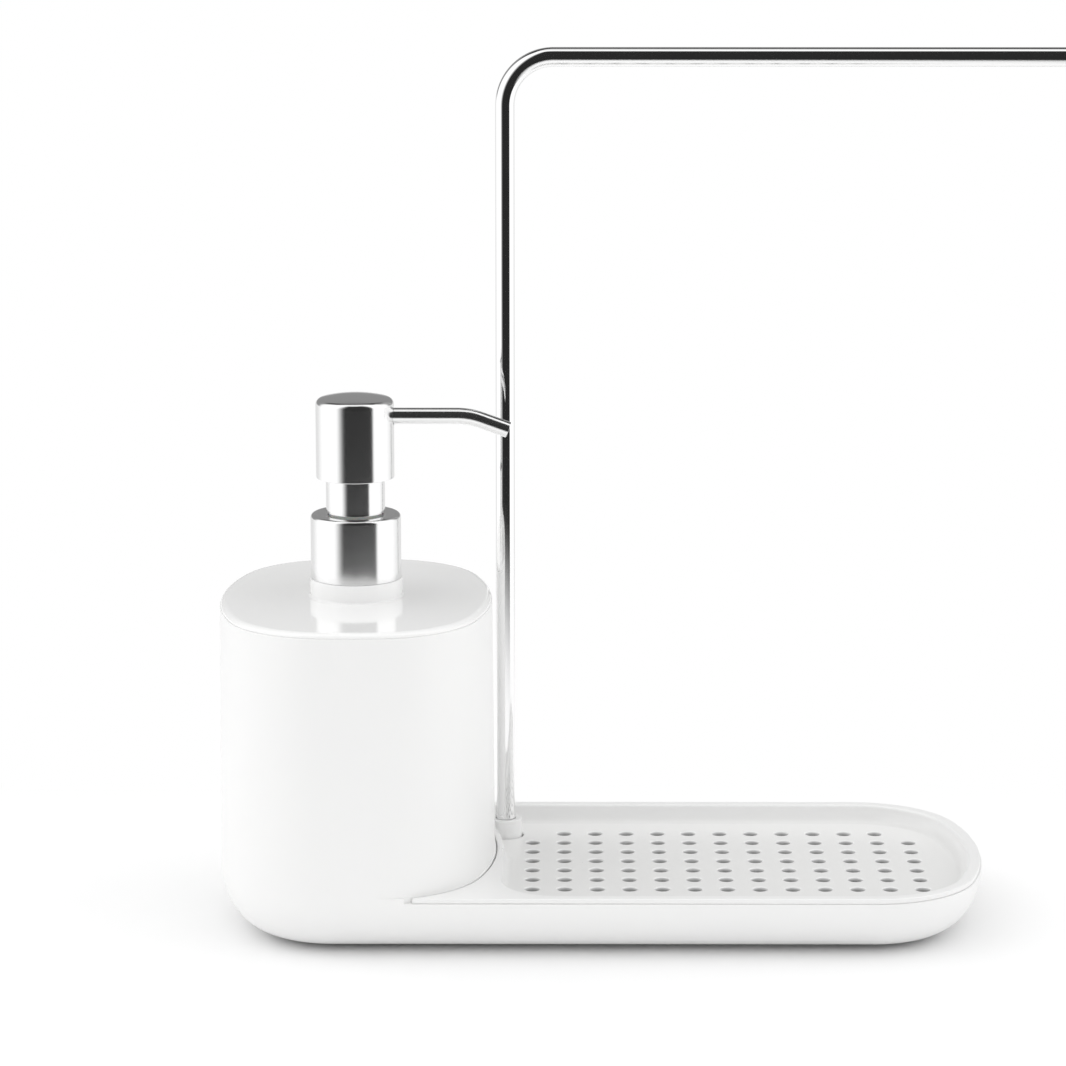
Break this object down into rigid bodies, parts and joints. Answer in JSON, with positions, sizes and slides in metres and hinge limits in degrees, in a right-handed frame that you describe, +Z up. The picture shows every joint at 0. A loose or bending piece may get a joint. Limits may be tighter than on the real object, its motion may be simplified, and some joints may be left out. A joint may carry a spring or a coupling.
{
  "type": "soap pump caddy",
  "caption": "White countertop caddy: soap bottle with a bright press pump, a lift-out drip tray beside it and a bent rail over the tray for a cloth.",
  "frame": {"origin": "on the table, under the middle of the overall box", "axes": "+X runs along the caddy from the bottle towards the free end of the rail, +Y to its back, +Z up"},
  "size_m": [0.2884, 0.107, 0.2664],
  "materials": {
    "body_white": "satin",
    "tray_white": "semi-gloss",
    "lid_white": "gloss",
    "bright": "polished",
    "feet_rubber": "matte",
    "seal": "matte",
    "works_white": "moulded",
    "steel": "bright"
  },
  "bodies": {
    "base": {"base_body": "body_white", "rubber_feet": "feet_rubber", "rail_socket": "body_white"},
    "lid": {"bottle_lid": "lid_white", "lid_seal": "seal"},
    "drip_tray": {"drip_tray": "tray_white"},
    "pump_carrier": {"neck_gasket": "seal", "chaplet": "works_white", "neck_sleeve": "bright", "pump_cylinder": "works_white", "pump_spring": "steel", "dip_tube": "works_white"},
    "collar": {"collar_shell": "bright", "collar_nut": "works_white"},
    "plunger": {"pump_stem": "works_white", "piston": "works_white", "spring_seat": "works_white"},
    "pump_head": {"head_shell": "bright", "head_core": "works_white", "spout": "bright"},
    "inlet_ball": {"inlet_ball": "steel"},
    "outlet_ball": {"outlet_ball": "steel"},
    "rail_foot": {"rail_foot_plug": "works_white"},
    "rail_arm": {"rail_rod": "bright", "rail_end_cap": "bright"}
  },
  "joints": [
    {"name": "lid_lift", "type": "slide", "parent": "base", "child": "lid", "axis": [0, 0, 1], "range_m": [0, 0.095]},
    {"name": "pump_lift", "type": "slide", "parent": "lid", "child": "pump_carrier", "axis": [0, 0, 1], "range_m": [0, 0.0048]},
    {"name": "collar_turn", "type": "hinge", "parent": "pump_carrier", "child": "collar", "pos_m": [-0.1015, 0, 0.1165], "axis": [0, 0, 1], "range_deg": [0, 540]},
    {"name": "head_press", "type": "slide", "parent": "pump_carrier", "child": "plunger", "axis": [0, 0, -1], "range_m": [0, 0.0105], "stiffness_N_per_m": 300, "springref_m": -0.02, "deforming": ["pump_spring"]},
    {"name": "head_swivel", "type": "hinge", "parent": "plunger", "child": "pump_head", "pos_m": [-0.1015, 0, 0.1495], "axis": [0, 0, 1], "continuous": true},
    {"name": "inlet_lift", "type": "slide", "parent": "pump_carrier", "child": "inlet_ball", "axis": [0, 0, 1], "range_m": [0, 0.002]},
    {"name": "outlet_lift", "type": "slide", "parent": "plunger", "child": "outlet_ball", "axis": [0, 0, 1], "range_m": [0, 0.0015]},
    {"name": "tray_lift", "type": "slide", "parent": "base", "child": "drip_tray", "axis": [0, 0, 1], "range_m": [0, 0.04]},
    {"name": "rail_lift", "type": "slide", "parent": "base", "child": "rail_foot", "axis": [0, 0, 1], "range_m": [0, 0.014]},
    {"name": "rail_turn", "type": "hinge", "parent": "rail_foot", "child": "rail_arm", "pos_m": [-0.05585, 0.034, 0.1], "axis": [0, 0, 1], "continuous": true}
  ],
  "couplings": [
    {"joint": "collar_turn", "follows": "pump_lift", "rad_per_m": 1963.5}
  ]
}
